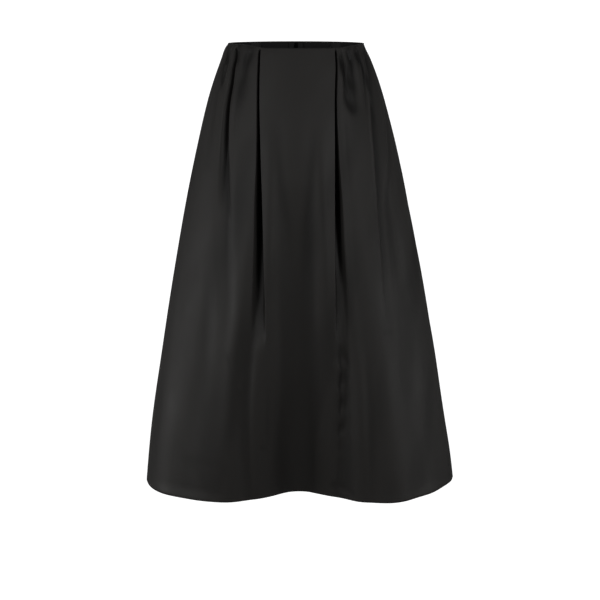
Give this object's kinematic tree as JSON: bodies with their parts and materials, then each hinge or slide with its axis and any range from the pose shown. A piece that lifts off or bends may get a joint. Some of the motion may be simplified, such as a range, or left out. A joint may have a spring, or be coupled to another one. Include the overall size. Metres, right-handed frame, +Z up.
{
  "type": "maxi skirt",
  "caption": "Long flared satin skirt, filled out and hollow, with deep front pleats beside a flat centre, gathered sides, a waist facing and a concealed zip at the centre back.",
  "frame": {"origin": "centre of the waist opening, at the height of the waist edge", "axes": "+Z up out of the waist, -Y towards the front, +X to the viewer's right when the front faces the viewer"},
  "size_m": [0.625, 0.3751, 0.8772],
  "materials": {
    "satin": "black satin, smooth, with soft highlights down its folds",
    "facing": "black facing cloth, duller than the satin",
    "tape": "black woven zip tape, matte",
    "coil": "black nylon zip coil",
    "slider": "black enamelled metal"
  },
  "bodies": {
    "skirt": {"front": "satin", "back_left": "satin", "back_right": "satin", "front_facing": "facing", "back_left_facing": "facing", "back_right_facing": "facing", "zip_tape_left": "tape", "zip_tape_right": "tape", "zip_coil": "coil", "zip_slider": "slider"},
    "zip_pull": {"zip_pull": "slider"}
  },
  "joints": [
    {"name": "pull_hinge", "type": "hinge", "parent": "skirt", "child": "zip_pull", "pos_m": [0, 0.10148, -0.00608], "axis": [1, 0, 0], "range_deg": [0, 150]}
  ]
}
